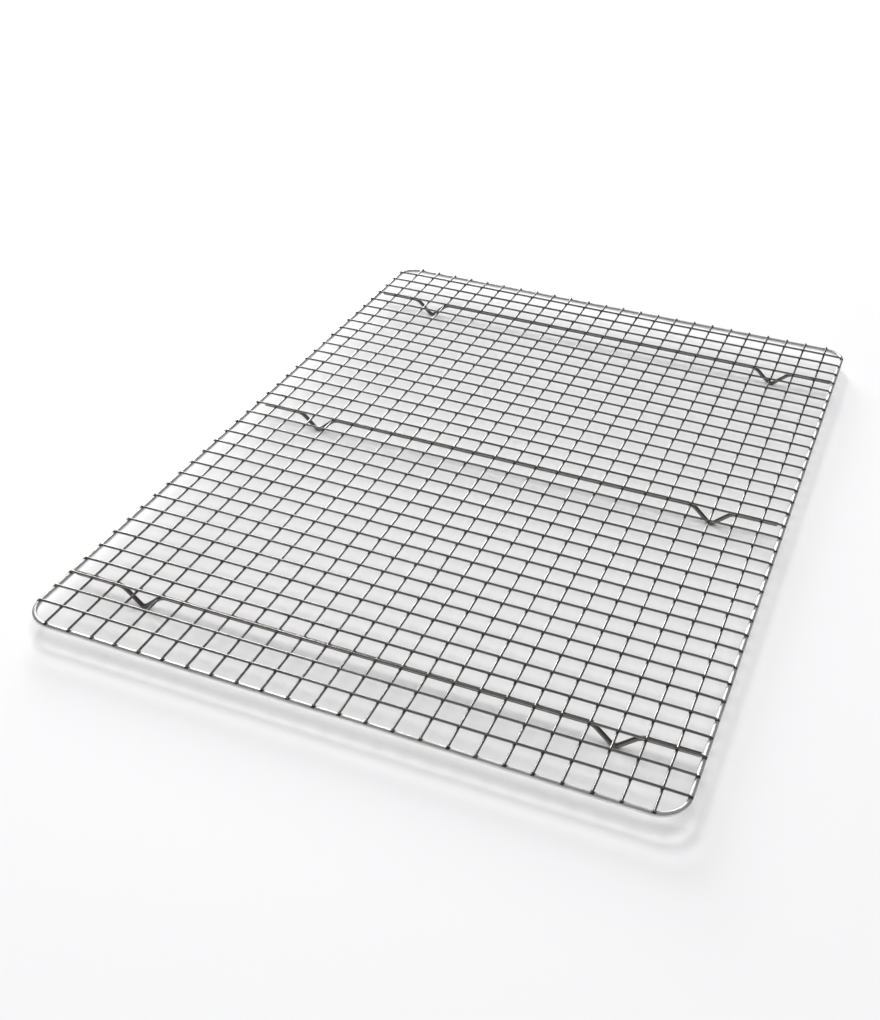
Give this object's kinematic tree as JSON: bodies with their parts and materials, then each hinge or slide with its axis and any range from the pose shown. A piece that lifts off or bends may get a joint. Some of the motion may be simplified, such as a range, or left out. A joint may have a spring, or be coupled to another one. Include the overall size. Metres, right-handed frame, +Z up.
{
  "type": "cooling rack",
  "caption": "Rectangular wire cooling rack: a fine welded grid inside a thicker round-cornered border wire, raised on V-shaped feet bent in its leg wires.",
  "frame": {"origin": "middle of the rack, on the surface that its feet stand on", "axes": "+X across the rack, +Y along its longer side to the back, +Z up"},
  "size_m": [0.3024, 0.4344, 0.013],
  "materials": {
    "grid_steel": "drawn wire, satin bright",
    "border_steel": "drawn wire, satin bright",
    "leg_steel": "drawn wire, satin, slightly darker"
  },
  "bodies": {
    "root": {"border_wire": "border_steel", "cross_wire_02": "grid_steel", "cross_wire_03": "grid_steel", "cross_wire_04": "grid_steel", "cross_wire_05": "grid_steel", "cross_wire_06": "grid_steel", "cross_wire_07": "grid_steel", "cross_wire_08": "grid_steel", "cross_wire_09": "grid_steel", "cross_wire_10": "grid_steel", "cross_wire_11": "grid_steel", "cross_wire_12": "grid_steel", "cross_wire_13": "grid_steel", "cross_wire_14": "grid_steel", "cross_wire_15": "grid_steel", "cross_wire_16": "grid_steel", "cross_wire_17": "grid_steel", "cross_wire_18": "grid_steel", "cross_wire_19": "grid_steel", "cross_wire_20": "grid_steel", "cross_wire_21": "grid_steel", "cross_wire_22": "grid_steel", "cross_wire_23": "grid_steel", "cross_wire_24": "grid_steel", "cross_wire_25": "grid_steel", "cross_wire_26": "grid_steel", "cross_wire_27": "grid_steel", "cross_wire_28": "grid_steel", "cross_wire_29": "grid_steel", "cross_wire_30": "grid_steel", "cross_wire_31": "grid_steel", "cross_wire_32": "grid_steel", "cross_wire_33": "grid_steel", "cross_wire_34": "grid_steel", "edge_wires": "grid_steel", "leg_wire_back": "leg_steel", "leg_wire_front": "leg_steel", "leg_wire_middle": "leg_steel", "long_wire_02": "grid_steel", "long_wire_03": "grid_steel", "long_wire_04": "grid_steel", "long_wire_05": "grid_steel", "long_wire_06": "grid_steel", "long_wire_07": "grid_steel", "long_wire_08": "grid_steel", "long_wire_09": "grid_steel", "long_wire_10": "grid_steel", "long_wire_11": "grid_steel", "long_wire_12": "grid_steel", "long_wire_13": "grid_steel", "long_wire_14": "grid_steel", "long_wire_15": "grid_steel", "long_wire_16": "grid_steel", "long_wire_17": "grid_steel", "long_wire_18": "grid_steel", "long_wire_19": "grid_steel", "long_wire_20": "grid_steel", "long_wire_21": "grid_steel", "long_wire_22": "grid_steel", "long_wire_23": "grid_steel"}
  },
  "joints": []
}
